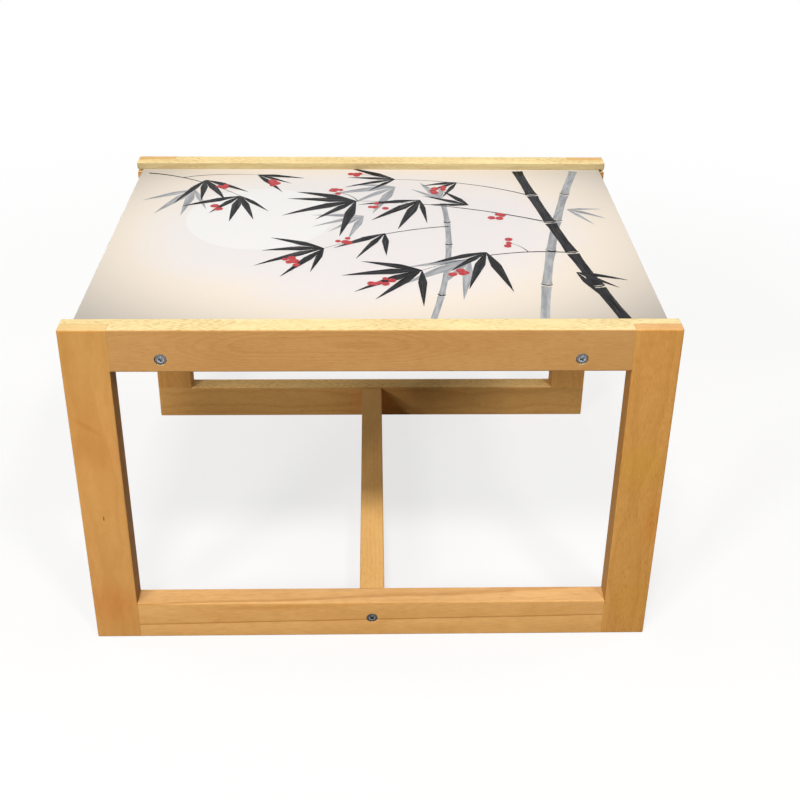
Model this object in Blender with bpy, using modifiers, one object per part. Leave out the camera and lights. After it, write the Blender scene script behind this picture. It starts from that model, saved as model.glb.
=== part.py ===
"""A low table on two sled frames, tied by bolted cross bars, with a thin panel let into the top rails.

Sizes are in metres and +Z is up. X runs along the frames and Y from the front frame to the back one.
The origin lies on the floor, under the middle of the table.
"""

import math

import bmesh
import bpy
from mathutils import Matrix, Vector

# Overall sizes
LENGTH = 0.620
DEPTH = 0.465
HEIGHT = 0.400

# Boards of the frames
BOARD_THICKNESS = 0.0235
LEG_WIDTH = 0.0485
TOP_RAIL_HEIGHT = 0.0485
BOTTOM_RAIL_HEIGHT = 0.0485
BOARD_EASE = 0.0015

# Panel, and the groove that holds each of its long edges
PANEL_THICKNESS = 0.003
PANEL_INSET = 0.0075
PANEL_EASE = 0.0004
GROOVE_DEPTH = 0.008
LIP_HEIGHT = 0.009

# Cross bars
BAR_WIDTH = 0.028
TOP_BAR_LESS_HIGH = 0.0055
BOTTOM_BAR_DROP = 0.00075
BOTTOM_BAR_OFF_FLOOR = 0.00225
BAR_EASE = 0.0015
BAR_TO_LEG = 0.037

# Bolts, with a low cross-recess head let in flush with the face of the frame
BOLT_DIAMETER = 0.006
BOLT_LENGTH = 0.060
BOLT_TIP_CHAMFER = 0.0008
BOLT_PAST_NUT = 0.006
BOLT_TURN_STEP = math.radians(25)
HEAD_DIAMETER = 0.012
HEAD_HEIGHT = 0.0042
HEAD_RIM_HEIGHT = 0.0036
HEAD_BELOW_FACE = 0.0003
HEAD_HOLE_CHAMFER = 0.0003
RECESS_LENGTH = 0.0068
RECESS_FOOT_LENGTH = 0.0030
RECESS_WIDTH = 0.0016
RECESS_DEPTH = 0.0026

# Barrel nuts, lying upright across the bolts inside the bars
NUT_DIAMETER = 0.010
NUT_LENGTH = 0.020
NUT_CHAMFER = 0.0006
NUT_SLOT_WIDTH = 0.0018
NUT_SLOT_DEPTH = 0.0020

# Fluted dowels that keep the bars from turning on their bolts
DOWEL_DIAMETER = 0.008
DOWEL_IN_RAIL = 0.012
DOWEL_TO_NUT = 0.0079
DOWEL_FROM_EDGE = 0.0085
DOWEL_CHAMFER = 0.0010
DOWEL_FLUTE_DEPTH = 0.0003
SOCKET_ROOM = 0.001

# Clearances
FIT_GAP = 0.0003
CUT_PAST = 0.002

# Fineness of round shapes
ROUND_STEPS = 24
INNER_STEPS = 16
EASE_STEPS = 2
DOME_STEPS = 4
MERGE_DISTANCE = 0.00001
SMOOTH_ANGLE = math.radians(35)

# Places that follow from the sizes above. The frames are described in front, with their outer face at -Y.
END_X = LENGTH / 2
WINDOW_X = END_X - LEG_WIDTH
WINDOW_LOW_Z = BOTTOM_RAIL_HEIGHT
WINDOW_HIGH_Z = HEIGHT - TOP_RAIL_HEIGHT
OUTER_Y = -DEPTH / 2
INNER_Y = OUTER_Y + BOARD_THICKNESS
LAP_Y = (OUTER_Y + INNER_Y) / 2

GROOVE_TOP_Z = HEIGHT - LIP_HEIGHT
PANEL_TOP_Z = GROOVE_TOP_Z - FIT_GAP
PANEL_LOW_Z = PANEL_TOP_Z - PANEL_THICKNESS
GROOVE_LOW_Z = PANEL_LOW_Z - FIT_GAP
GROOVE_FLOOR_Y = INNER_Y - GROOVE_DEPTH

TOP_BAR_HEIGHT = TOP_RAIL_HEIGHT - TOP_BAR_LESS_HIGH
BOTTOM_BAR_HEIGHT = BOTTOM_RAIL_HEIGHT - BOTTOM_BAR_DROP - BOTTOM_BAR_OFF_FLOOR
BAR_END_Y = INNER_Y + FIT_GAP
BAR_LENGTH = -2 * BAR_END_Y
TOP_BAR_X = WINDOW_X - BAR_TO_LEG - BAR_WIDTH / 2
TOP_BAR_Z = PANEL_LOW_Z - FIT_GAP - TOP_BAR_HEIGHT / 2
BOTTOM_BAR_Z = BOTTOM_BAR_OFF_FLOOR + BOTTOM_BAR_HEIGHT / 2
BARS = {
    "left": (-TOP_BAR_X, TOP_BAR_Z, TOP_BAR_HEIGHT),
    "right": (TOP_BAR_X, TOP_BAR_Z, TOP_BAR_HEIGHT),
    "bottom": (0.0, BOTTOM_BAR_Z, BOTTOM_BAR_HEIGHT),
}

HEAD_HOLE_DEPTH = HEAD_BELOW_FACE + HEAD_HEIGHT + FIT_GAP
BOLT_SEAT_Y = OUTER_Y + HEAD_BELOW_FACE + HEAD_HEIGHT
BOLT_TIP_Y = BOLT_SEAT_Y + BOLT_LENGTH
NUT_Y = BOLT_TIP_Y - BOLT_PAST_NUT - NUT_DIAMETER / 2
DOWEL_START_Y = INNER_Y - DOWEL_IN_RAIL
DOWEL_END_Y = NUT_Y - NUT_DIAMETER / 2 - DOWEL_TO_NUT
DOWEL_LENGTH = DOWEL_END_Y - DOWEL_START_Y
DOWEL_Y = (DOWEL_START_Y + DOWEL_END_Y) / 2


def clear_scene():
    for obj in list(bpy.data.objects):
        bpy.data.objects.remove(obj, do_unlink=True)


def new_collection(name):
    collection = bpy.data.collections.new(name)
    bpy.context.scene.collection.children.link(collection)
    return collection


def new_material(name, colour, roughness, metallic=0.0):
    material = bpy.data.materials.new(name)
    material.use_nodes = True
    shader = material.node_tree.nodes["Principled BSDF"]
    shader.inputs["Base Color"].default_value = (*colour, 1.0)
    shader.inputs["Roughness"].default_value = roughness
    shader.inputs["Metallic"].default_value = metallic
    material.diffuse_color = (*colour, 1.0)
    return material


clear_scene()
PARTS = new_collection("sled_coffee_table")
CUTTERS = new_collection("sled_coffee_table_cutters")
BEECH = new_material("beech", (0.62, 0.33, 0.11), 0.45)
DOWEL_WOOD = new_material("dowel_wood", (0.72, 0.50, 0.27), 0.6)
PRINTED_ACRYLIC = new_material("printed_acrylic", (0.82, 0.79, 0.74), 0.08)
ZINC = new_material("zinc", (0.55, 0.56, 0.58), 0.3, 1.0)


def add_part(name, mesh, material, location, parent=None):
    part = bpy.data.objects.new(name, mesh)
    PARTS.objects.link(part)
    part.location = location
    part.parent = parent
    if not mesh.materials:
        mesh.materials.append(material)
    return part


def add_cutter(name, mesh, location, parent=None):
    cutter = bpy.data.objects.new(name, mesh)
    CUTTERS.objects.link(cutter)
    cutter.location = location
    cutter.parent = parent
    cutter.hide_render = True
    cutter.display_type = "WIRE"
    return cutter


def cut(part, cutter):
    boolean = part.modifiers.new(cutter.name, "BOOLEAN")
    boolean.operation = "DIFFERENCE"
    boolean.solver = "EXACT"
    boolean.object = cutter


def baked_mesh(obj):
    """The object's mesh with its modifiers applied. The object itself is removed."""
    bpy.context.view_layer.update()
    graph = bpy.context.evaluated_depsgraph_get()
    mesh = bpy.data.meshes.new_from_object(obj.evaluated_get(graph))
    mesh.name = obj.name
    bpy.data.objects.remove(obj, do_unlink=True)
    return mesh


def box_mesh(name, size):
    """A box about its own centre."""
    shape = bmesh.new()
    bmesh.ops.create_cube(shape, size=1.0, matrix=Matrix.Diagonal((*size, 1.0)))
    mesh = bpy.data.meshes.new(name)
    shape.to_mesh(mesh)
    shape.free()
    return mesh


def cylinder_mesh(name, radius, length):
    """A closed cylinder along Z about its own centre."""
    shape = bmesh.new()
    bmesh.ops.create_cone(
        shape, cap_ends=True, segments=INNER_STEPS, radius1=radius, radius2=radius, depth=length
    )
    mesh = bpy.data.meshes.new(name)
    shape.to_mesh(mesh)
    shape.free()
    return mesh


def turned_mesh(name, profile, steps):
    """A profile of (radius, z) points, from its top down, turned about Z."""
    line = bpy.data.meshes.new(name)
    points = [(radius, 0.0, z) for radius, z in profile]
    line.from_pydata(points, [(i, i + 1) for i in range(len(points) - 1)], [])
    obj = bpy.data.objects.new(name, line)
    CUTTERS.objects.link(obj)
    screw = obj.modifiers.new("turn", "SCREW")
    screw.axis = "Z"
    screw.steps = steps
    screw.render_steps = steps
    screw.use_merge_vertices = True
    screw.merge_threshold = MERGE_DISTANCE
    return baked_mesh(obj)


def smooth(mesh):
    mesh.shade_smooth()
    mesh.set_sharp_from_angle(angle=SMOOTH_ANGLE)


def near(a, b):
    return abs(a - b) < 2 * FIT_GAP


def is_frame_arris(edge, centre):
    """Does this edge of a board lie on an arris of the glued frame, and not on a joint in it?"""
    start, end = (vert.co + centre for vert in edge.verts)
    middle = (start + end) / 2
    at_side = near(abs(middle.x), END_X)
    at_end = near(middle.z, 0.0) or near(middle.z, HEIGHT)
    at_groove = middle.y > GROOVE_FLOOR_Y - FIT_GAP
    at_groove = at_groove and GROOVE_LOW_Z - FIT_GAP < middle.z < GROOVE_TOP_Z + FIT_GAP
    if at_groove or abs(start.y - end.y) > FIT_GAP:
        return at_side and (at_groove or at_end)
    beside_window = near(abs(middle.x), WINDOW_X) and WINDOW_LOW_Z < middle.z < WINDOW_HIGH_Z
    over_window = near(middle.z, WINDOW_LOW_Z) or near(middle.z, WINDOW_HIGH_Z)
    over_window = over_window and abs(middle.x) < WINDOW_X
    at_face = near(middle.y, OUTER_Y) or near(middle.y, INNER_Y)
    return at_face and (at_side or at_end or beside_window or over_window)


def ease(mesh, chosen, radius):
    """Rounds the edges of the mesh for which chosen(edge) holds."""
    shape = bmesh.new()
    shape.from_mesh(mesh)
    edges = [edge for edge in shape.edges if chosen(edge)]
    bmesh.ops.bevel(
        shape,
        geom=edges,
        offset=radius,
        segments=EASE_STEPS,
        profile=0.5,
        affect="EDGES",
        clamp_overlap=True,
    )
    shape.to_mesh(mesh)
    shape.free()


def divide(mesh, planes):
    """Splits the mesh's edges and faces along planes, each a point and a normal."""
    shape = bmesh.new()
    shape.from_mesh(mesh)
    for point, normal in planes:
        geometry = [*shape.verts, *shape.edges, *shape.faces]
        bmesh.ops.bisect_plane(shape, geom=geometry, plane_co=point, plane_no=normal)
    shape.to_mesh(mesh)
    shape.free()


def box_between(low, high):
    """The centre and the size of the box between two corners."""
    low, high = Vector(low), Vector(high)
    return (low + high) / 2, high - low


def lapped_board(name, low, high, notches, planes):
    """A board between two corners, less the boxes of its half laps, with the frame's arrises rounded."""
    centre, size = box_between(low, high)
    blank = bpy.data.objects.new(name, box_mesh(name, size))
    CUTTERS.objects.link(blank)
    cutters = []
    for notch_low, notch_high in notches:
        notch_centre, notch_size = box_between(notch_low, notch_high)
        cutter = add_cutter(name + "_lap", box_mesh(name + "_lap", notch_size), notch_centre - centre)
        cut(blank, cutter)
        cutters.append(cutter)
    mesh = baked_mesh(blank)
    for cutter in cutters:
        bpy.data.objects.remove(cutter, do_unlink=True)
    divide(mesh, [(Vector(point) - centre, normal) for point, normal in planes])
    ease(mesh, lambda edge: is_frame_arris(edge, centre), BOARD_EASE)
    return mesh, centre


def leg(name, side, frame):
    """An upright board at side -1 or 1. Only its outer half reaches past the rails."""
    inner_x, outer_x = sorted((side * WINDOW_X, side * END_X))
    low = (inner_x, OUTER_Y, 0.0)
    high = (outer_x, INNER_Y, HEIGHT)
    lap_y = LAP_Y - FIT_GAP / 2
    lap_low = (inner_x - CUT_PAST, lap_y, -CUT_PAST)
    lap_high = (outer_x + CUT_PAST, INNER_Y + CUT_PAST, WINDOW_LOW_Z + FIT_GAP)
    top_low = (inner_x - CUT_PAST, lap_y, WINDOW_HIGH_Z - FIT_GAP)
    top_high = (outer_x + CUT_PAST, INNER_Y + CUT_PAST, HEIGHT + CUT_PAST)
    planes = [((0, 0, z), (0, 0, 1)) for z in (WINDOW_LOW_Z, WINDOW_HIGH_Z)]
    mesh, centre = lapped_board(name, low, high, [(lap_low, lap_high), (top_low, top_high)], planes)
    return add_part(name, mesh, BEECH, centre, frame)


def groove():
    """The corners of the slot along a top rail's inner face, open at both ends of the rail."""
    low = (-END_X - CUT_PAST, GROOVE_FLOOR_Y, GROOVE_LOW_Z)
    high = (END_X + CUT_PAST, INNER_Y + CUT_PAST, GROOVE_TOP_Z)
    return low, high


def rail(name, low_z, high_z, slots, frame):
    """A level board. Its inner half runs the full length, and its outer half stops at the legs."""
    low = (-END_X, OUTER_Y, low_z)
    high = (END_X, INNER_Y, high_z)
    shoulder_x = WINDOW_X - FIT_GAP
    lap_y = LAP_Y + FIT_GAP / 2
    notches = list(slots)
    for start_x, end_x in ((-END_X - CUT_PAST, -shoulder_x), (shoulder_x, END_X + CUT_PAST)):
        lap_low = (start_x, OUTER_Y - CUT_PAST, low_z - CUT_PAST)
        lap_high = (end_x, lap_y, high_z + CUT_PAST)
        notches.append((lap_low, lap_high))
    planes = [((x, 0, 0), (1, 0, 0)) for x in (-WINDOW_X, WINDOW_X)]
    mesh, centre = lapped_board(name, low, high, notches, planes)
    return add_part(name, mesh, BEECH, centre, frame)


def bolt_mesh():
    """A bolt along Z, with its head upward and the underside of the head at the origin."""
    shank_radius = BOLT_DIAMETER / 2
    head_radius = HEAD_DIAMETER / 2
    dome_height = HEAD_HEIGHT - HEAD_RIM_HEIGHT
    profile = []
    for step in range(DOME_STEPS + 1):
        angle = math.pi / 2 * (1 - step / DOME_STEPS)
        profile.append((head_radius * math.cos(angle), HEAD_RIM_HEIGHT + dome_height * math.sin(angle)))
    profile[0] = (0.0, HEAD_HEIGHT)
    profile.append((head_radius, 0.0))
    profile.append((shank_radius, 0.0))
    profile.append((shank_radius, BOLT_TIP_CHAMFER - BOLT_LENGTH))
    profile.append((shank_radius - BOLT_TIP_CHAMFER, -BOLT_LENGTH))
    profile.append((0.0, -BOLT_LENGTH))
    blank = bpy.data.objects.new("bolt", turned_mesh("bolt", profile, ROUND_STEPS))
    CUTTERS.objects.link(blank)
    blade_height = RECESS_DEPTH + CUT_PAST
    blade = box_mesh("recess_blade", (RECESS_LENGTH, RECESS_WIDTH, blade_height))
    for vert in blade.vertices:
        if vert.co.z < 0:
            vert.co.x *= RECESS_FOOT_LENGTH / RECESS_LENGTH
    blades = []
    for turn in (0.0, math.pi / 2):
        cutter = add_cutter("recess_blade", blade, (0, 0, HEAD_HEIGHT - RECESS_DEPTH + blade_height / 2))
        cutter.rotation_euler.z = turn
        cut(blank, cutter)
        blades.append(cutter)
    mesh = baked_mesh(blank)
    for cutter in blades:
        bpy.data.objects.remove(cutter, do_unlink=True)
    smooth(mesh)
    return mesh


def barrel_nut_mesh():
    """An upright round nut with a cross hole for the bolt along Y and a screwdriver slot below."""
    radius = NUT_DIAMETER / 2
    half = NUT_LENGTH / 2
    profile = [
        (0.0, half),
        (radius - NUT_CHAMFER, half),
        (radius, half - NUT_CHAMFER),
        (radius, NUT_CHAMFER - half),
        (radius - NUT_CHAMFER, -half),
        (0.0, -half),
    ]
    blank = bpy.data.objects.new("barrel_nut", turned_mesh("barrel_nut", profile, INNER_STEPS))
    CUTTERS.objects.link(blank)
    hole = cylinder_mesh("nut_cross_hole", BOLT_DIAMETER / 2 + FIT_GAP, NUT_DIAMETER + 2 * CUT_PAST)
    hole_cutter = add_cutter("nut_cross_hole", hole, (0, 0, 0))
    hole_cutter.rotation_euler.x = math.pi / 2
    slot = box_mesh("nut_slot", (NUT_SLOT_WIDTH, NUT_DIAMETER + 2 * CUT_PAST, 2 * NUT_SLOT_DEPTH))
    slot_cutter = add_cutter("nut_slot", slot, (0, 0, -half))
    for cutter in (hole_cutter, slot_cutter):
        cut(blank, cutter)
    mesh = baked_mesh(blank)
    for cutter in (hole_cutter, slot_cutter):
        bpy.data.objects.remove(cutter, do_unlink=True)
    smooth(mesh)
    return mesh


def dowel_mesh():
    """A dowel along Z with chamfered ends. Its flutes are every second point of its rings, drawn in."""
    radius = DOWEL_DIAMETER / 2
    half = DOWEL_LENGTH / 2
    profile = [
        (0.0, half),
        (radius - DOWEL_CHAMFER, half),
        (radius, half - DOWEL_CHAMFER),
        (radius, DOWEL_CHAMFER - half),
        (radius - DOWEL_CHAMFER, -half),
        (0.0, -half),
    ]
    mesh = turned_mesh("dowel", profile, INNER_STEPS)
    for vert in mesh.vertices:
        step = round(math.atan2(vert.co.y, vert.co.x) / (2 * math.pi / INNER_STEPS))
        if step % 2 and near(math.hypot(vert.co.x, vert.co.y), radius):
            vert.co.xy *= 1 - DOWEL_FLUTE_DEPTH / radius
    return mesh


def bolt_hole_mesh():
    """The room for a bolt, about the same origin as the bolt: its head's hole, then its shank's."""
    shank_radius = BOLT_DIAMETER / 2 + FIT_GAP
    head_radius = HEAD_DIAMETER / 2 + FIT_GAP
    floor_z = -FIT_GAP
    face_z = floor_z + HEAD_HOLE_DEPTH
    mouth_radius = head_radius + HEAD_HOLE_CHAMFER + CUT_PAST
    profile = [
        (0.0, face_z + CUT_PAST),
        (mouth_radius, face_z + CUT_PAST),
        (head_radius, face_z - HEAD_HOLE_CHAMFER),
        (head_radius, floor_z),
        (shank_radius, floor_z),
        (shank_radius, -BOLT_LENGTH - SOCKET_ROOM),
        (0.0, -BOLT_LENGTH - SOCKET_ROOM),
    ]
    return turned_mesh("bolt_hole", profile, ROUND_STEPS)


def nut_hole_mesh():
    """The room for a barrel nut, about its centre, open through the underside of the bar."""
    top = NUT_LENGTH / 2 + FIT_GAP
    low = -max(TOP_BAR_HEIGHT, BOTTOM_BAR_HEIGHT) / 2 - CUT_PAST
    mesh = cylinder_mesh("nut_hole", NUT_DIAMETER / 2 + FIT_GAP, top - low)
    mesh.transform(Matrix.Translation((0, 0, (top + low) / 2)))
    return mesh


def cross_bar(name, x, z, height):
    """A bar between the frames, along Y, with its four long arrises rounded."""
    mesh = box_mesh(name, (BAR_WIDTH, BAR_LENGTH, height))
    ease(mesh, lambda edge: abs(edge.verts[0].co.y - edge.verts[1].co.y) > BAR_LENGTH / 2, BAR_EASE)
    return add_part(name, mesh, BEECH, (x, 0, z))


def panel():
    """The sheet between the top rails, with its long edges in their grooves."""
    width = -2 * (GROOVE_FLOOR_Y + FIT_GAP)
    mesh = box_mesh("top_panel", (LENGTH - 2 * PANEL_INSET, width, PANEL_THICKNESS))
    part = add_part("top_panel", mesh, PRINTED_ACRYLIC, (0, 0, PANEL_TOP_Z - PANEL_THICKNESS / 2))
    bevel = part.modifiers.new("polished edges", "BEVEL")
    bevel.width = PANEL_EASE
    bevel.segments = 1


def build():
    bolt = bolt_mesh()
    barrel_nut = barrel_nut_mesh()
    dowel = dowel_mesh()
    smooth(dowel)
    bolt_hole = bolt_hole_mesh()
    nut_hole = nut_hole_mesh()
    dowel_hole = cylinder_mesh("dowel_hole", DOWEL_DIAMETER / 2 + FIT_GAP, DOWEL_LENGTH + 2 * SOCKET_ROOM)
    bars = {key: cross_bar(key + "_cross_bar", *facts) for key, facts in BARS.items()}
    panel()
    # The back frame is the front one after half a turn about Z, so its own left is the table's right.
    for place, facing in (("front", 1), ("back", -1)):
        frame = bpy.data.objects.new(place + "_frame", None)
        PARTS.objects.link(frame)
        frame.rotation_euler.z = 0.0 if facing > 0 else math.pi
        leg(place + "_left_leg", -facing, frame)
        leg(place + "_right_leg", facing, frame)
        bottom_rail = rail(place + "_bottom_rail", 0.0, BOTTOM_RAIL_HEIGHT, [], frame)
        top_rail = rail(place + "_top_rail", WINDOW_HIGH_Z, HEIGHT, [groove()], frame)
        for index, (key, (bar_x, z, height)) in enumerate(BARS.items()):
            x = facing * bar_x
            dowel_z = z + height / 2 - DOWEL_FROM_EDGE
            name = place + "_" + key
            board = bottom_rail if key == "bottom" else top_rail
            bolt_part = add_part(name + "_bolt", bolt, ZINC, (x, BOLT_SEAT_Y, z), frame)
            nut_part = add_part(name + "_barrel_nut", barrel_nut, ZINC, (x, NUT_Y, z), frame)
            dowel_part = add_part(name + "_dowel", dowel, DOWEL_WOOD, (x, DOWEL_Y, dowel_z), frame)
            bolt_cutter = add_cutter(name + "_bolt_hole", bolt_hole, bolt_part.location, frame)
            nut_cutter = add_cutter(name + "_nut_hole", nut_hole, nut_part.location, frame)
            dowel_cutter = add_cutter(name + "_dowel_hole", dowel_hole, dowel_part.location, frame)
            # Upright meshes are laid along Y, with the top of the bolt facing out of the frame.
            for obj in (bolt_part, dowel_part, bolt_cutter, dowel_cutter):
                obj.rotation_euler.x = math.pi / 2
            bolt_part.rotation_mode = "ZXY"
            bolt_part.rotation_euler.z = index * BOLT_TURN_STEP
            for cutter in (bolt_cutter, dowel_cutter):
                cut(board, cutter)
            for cutter in (bolt_cutter, dowel_cutter, nut_cutter):
                cut(bars[key], cutter)


build()
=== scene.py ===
"""The looks of the low table on sled frames: beech boards, zinc fittings and a glossy printed panel."""

import math
import random
from collections import namedtuple

import bmesh
import bpy
from mathutils import Matrix, Vector


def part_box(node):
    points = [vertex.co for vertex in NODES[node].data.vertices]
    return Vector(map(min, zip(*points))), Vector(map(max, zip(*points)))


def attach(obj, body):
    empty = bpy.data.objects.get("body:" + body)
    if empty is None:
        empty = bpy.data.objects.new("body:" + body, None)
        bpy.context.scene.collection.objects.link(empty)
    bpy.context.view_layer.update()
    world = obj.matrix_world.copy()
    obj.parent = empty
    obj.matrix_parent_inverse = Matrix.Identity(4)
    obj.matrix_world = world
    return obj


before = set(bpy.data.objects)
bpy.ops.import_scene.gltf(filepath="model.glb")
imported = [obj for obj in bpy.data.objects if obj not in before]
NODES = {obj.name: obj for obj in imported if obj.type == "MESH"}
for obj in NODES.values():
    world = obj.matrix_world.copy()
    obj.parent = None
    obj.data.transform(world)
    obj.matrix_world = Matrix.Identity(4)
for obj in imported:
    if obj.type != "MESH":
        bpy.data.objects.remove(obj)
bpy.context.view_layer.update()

# Camera, found from the object's edges in the photograph: pixels of its picture, metres and angles
IMAGE_SIDE = 800.0
FOCAL_PIXELS = 1160.71
CENTRE_ROW = 260.0
CAMERA_PLACE = Vector((-0.0011, -1.2243, 0.9728))
CAMERA_YAW = math.radians(1.59)
CAMERA_PITCH = math.radians(-26.55)
CAMERA_ROLL = math.radians(0.72)
SENSOR_MM = 36.0

# Lamps: place, the point that each faces, side in metres and watts
LAMPS = {
    "key": ((-0.44, -2.14, 3.63), (0.0, -0.05, 0.25), 0.6, 77.0),
    "key_right": ((1.36, -2.28, 3.81), (0.0, -0.05, 0.20), 0.45, 52.0),
    "fill_far_left": ((-3.60, -4.14, 2.65), (0.0, 0.0, 0.20), 0.68, 112.0),
    "fill_left": ((-2.90, -4.25, 3.29), (0.0, 0.0, 0.20), 0.45, 56.0),
    "fill_right": ((1.20, -5.21, 2.93), (0.0, 0.0, 0.20), 0.9, 5.0),
    "left": ((-1.20, 0.05, 2.28), (0.0, 0.0, 0.20), 0.5, 8.5),
    "right": ((1.20, 0.05, 2.28), (0.0, 0.0, 0.20), 0.5, 9.5),
    "far_right": ((40.0, 0.0, 3.0), (0.0, 0.0, 0.20), 1.5, 1900.0),
    "back": ((0.0, 2.60, 0.36), (0.0, 0.0, 0.20), 0.4, 29.0),
}
LAMP_COLOUR = (1.0, 0.985, 0.96)

# Lamps that no gloss mirrors
LAMPS_NOT_MIRRORED = ("far_right", "back")

# Surroundings, which look white, and the strength of the light that they throw on the table
WHITE = (1.0, 1.0, 1.0)
WORLD_LIGHT = 0.075

# Floor: its side, its colour, the share of that colour that lights the table, the share of plain white near
# the table, and the distances from the middle between which the floor turns to plain white
FLOOR_SIDE = 12.0
FLOOR_COLOUR = (0.86, 0.86, 0.85)
FLOOR_BOUNCE = 0.09
FLOOR_GLOW = 0.74
FLOOR_WHITE_FROM = 0.5
FLOOR_WHITE_AT = 1.6

# Noise: its scale on each axis, detail, roughness, distortion, and the values between which it comes to show
PLAIN_NOISE = (2.0, 0.5, 0.0, 0.3, 0.7)
Noise = namedtuple("Noise", "scales detail roughness distortion low high", defaults=PLAIN_NOISE)

# Middle of the values that noise takes, and the span that most of them lie in
NOISE_MIDDLE = 0.5
MOST_NOISE = (0.3, 0.7)

# Growth rings of a board: their width, how far aside of the board's middle and how far behind it their pith
# lies, how much farther it bows away along the board, over what length and from where, how steeply the rings
# rise along the board, how far they are shifted, and how far they wander
Rings = namedtuple("Rings", "width aside behind bow reach nearest rise shift wander")
NARROW = Rings(0.0046, 0.004, 0.060, 0.0, 1.0, 0.0, 0.0, 0.0, 0.006)
CLOSE = Rings(0.0046, -0.005, 0.050, 0.0, 1.0, 0.0, 0.0, 0.0, 0.005)
BOWED = Rings(0.0017, -0.007, 0.042, 0.0101, 0.25, -0.048, 0.0, 0.0, 0.0024)
BROAD = Rings(0.0269, -0.090, -0.022, 0.0, 1.0, 0.0, 0.0189, -0.0980, 0.0016)

# Width of the dark line that ends a ring, the largest share of a ring that it takes, and the width of the
# step to the next ring
RING_LINE = 0.0024
RING_LINE_MOST = 0.5
RING_EDGE = 0.0004

# How strongly rings show, the share of that where they bow farthest away, and where in a ring the late wood
# begins, where it is full and how strongly it shows
RING_STRENGTH = 0.5
RING_STRENGTH_FAR = 0.25
LATE_WOOD_FROM = 0.05
LATE_WOOD_FULL = 0.70
LATE_WOOD_STRENGTH = 0.45

# Figure of a board: its rings, how strongly clouds, mottles and fibres show, how strongly rings show on its
# broad faces and on its narrow ones, and the same for dashes
Figure = namedtuple("Figure", "growth clouds mottles fibres rings edge_rings dashes edge_dashes")
MOTTLED = Figure(NARROW, 1.1, 0.45, 0.25, 0.2, 0.2, 0.10, 0.3)
DASHED = Figure(NARROW, 0.8, 0.50, 0.60, 0.3, 0.2, 0.38, 0.5)
FINE = Figure(CLOSE, 0.8, 0.50, 0.50, 0.4, 0.2, 0.35, 1.0)
RINGED = Figure(BOWED, 0.7, 0.50, 0.50, 0.36, 0.2, 0.22, 1.0)
LINED = Figure(BROAD, 1.0, 0.70, 0.70, 1.6, 0.9, 0.15, 0.1)

# Boards: a seed, the figure, then the wood's colour on its broad faces, on its narrow faces and on its ends;
# some of these colours carry painted light and painted shade, as noted at each
BOARDS = {
    # Painted shade: the narrow faces of both front legs are darkened, as their inner faces lie in shade
    "front_left_leg": (1, MOTTLED, (0.80, 0.410, 0.126), (0.44, 0.208, 0.058), (0.84, 0.59, 0.284)),
    "front_right_leg": (2, DASHED, (0.775, 0.401, 0.112), (0.57, 0.29, 0.082), (0.762, 0.469, 0.214)),
    # Painted light: the narrow faces of the top rails are paler, as painted sheen and light on their tops
    "front_top_rail": (3, RINGED, (0.68, 0.373, 0.136), (0.875, 0.745, 0.415), (0.74, 0.45, 0.180)),
    "front_bottom_rail": (4, LINED, (0.96, 0.56, 0.209), (0.905, 0.553, 0.243), (0.74, 0.44, 0.170)),
    "back_left_leg": (5, FINE, (0.70, 0.368, 0.116), (0.68, 0.34, 0.105), (0.78, 0.52, 0.220)),
    # Painted light: the back right leg's broad colour is raised against the lesser light in its corner
    "back_right_leg": (6, DASHED, (0.86, 0.468, 0.155), (0.68, 0.34, 0.100), (0.78, 0.51, 0.220)),
    # Painted light: the narrow faces of this top rail are paler, as painted sheen and light on its top
    "back_top_rail": (7, FINE, (0.70, 0.385, 0.135), (0.94, 0.787, 0.436), (0.74, 0.46, 0.190)),
    # Painted light: the back bottom rail's narrow faces are raised, as painted light on its dim top
    "back_bottom_rail": (8, FINE, (0.75, 0.422, 0.142), (0.99, 0.675, 0.282), (0.74, 0.44, 0.170)),
    "left_cross_bar": (9, FINE, (0.76, 0.400, 0.125), (0.74, 0.40, 0.130), (0.70, 0.38, 0.140)),
    "right_cross_bar": (10, FINE, (0.75, 0.395, 0.120), (0.73, 0.39, 0.125), (0.70, 0.38, 0.140)),
    "bottom_cross_bar": (11, MOTTLED, (0.76, 0.400, 0.120), (0.87, 0.52, 0.188), (0.70, 0.38, 0.140)),
}

# Painted light on the inner face of the back top rail above the panel: a paler colour that stands in for
# light bounced off the panel, and how softly it begins
PAINTED_BOUNCE_BOARD = "back_top_rail"
PAINTED_BOUNCE_COLOUR = (0.595, 0.503, 0.282)
PAINTED_BOUNCE_SOFTNESS = 0.001

# How squarely a surface faces an axis: from where it counts as that face and where it does so in full, the
# same for arrises, which face none squarely, and how strongly painted shade darkens the arrises
FACE_FROM = 0.6
FACE_FULL = 0.9
ARRIS_FROM = 0.97
ARRIS_FULL = 0.80
ARRIS_PAINTED_SHADE_STRENGTH = 0.7

# Noise in the wood, scaled along the grain, across it and then through the board or by its seed, how
# strongly it shows, and how far apart the boards lie in it
WANDER = Noise((8.0, 24.0, 1.0))
CLOUDS = Noise((6.0, 24.0, 24.0), 3.0, 0.55, 0.0, 0.30, 0.70)
MOTTLES = Noise((42.0, 70.0, 70.0), 3.0, 0.55, 1.2, 0.35, 0.75)
FIBRES = Noise((60.0, 1100.0, 1100.0), 2.0, 0.6, 0.0, 0.35, 0.75)
DASHES = Noise((150.0, 1250.0, 1.0), 1.0, 0.4, 0.0, 0.48, 0.66)
CROWDS = Noise((14.0, 60.0, 60.0), 1.0, 0.5, 0.0, 0.25, 0.60)
CLOUD_STRENGTH = 0.7
MOTTLE_STRENGTH = 0.6
SEED_STRIDE = 1.37

# How far dashes slant on a narrow face
DASH_SLANT = 1.5

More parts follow.
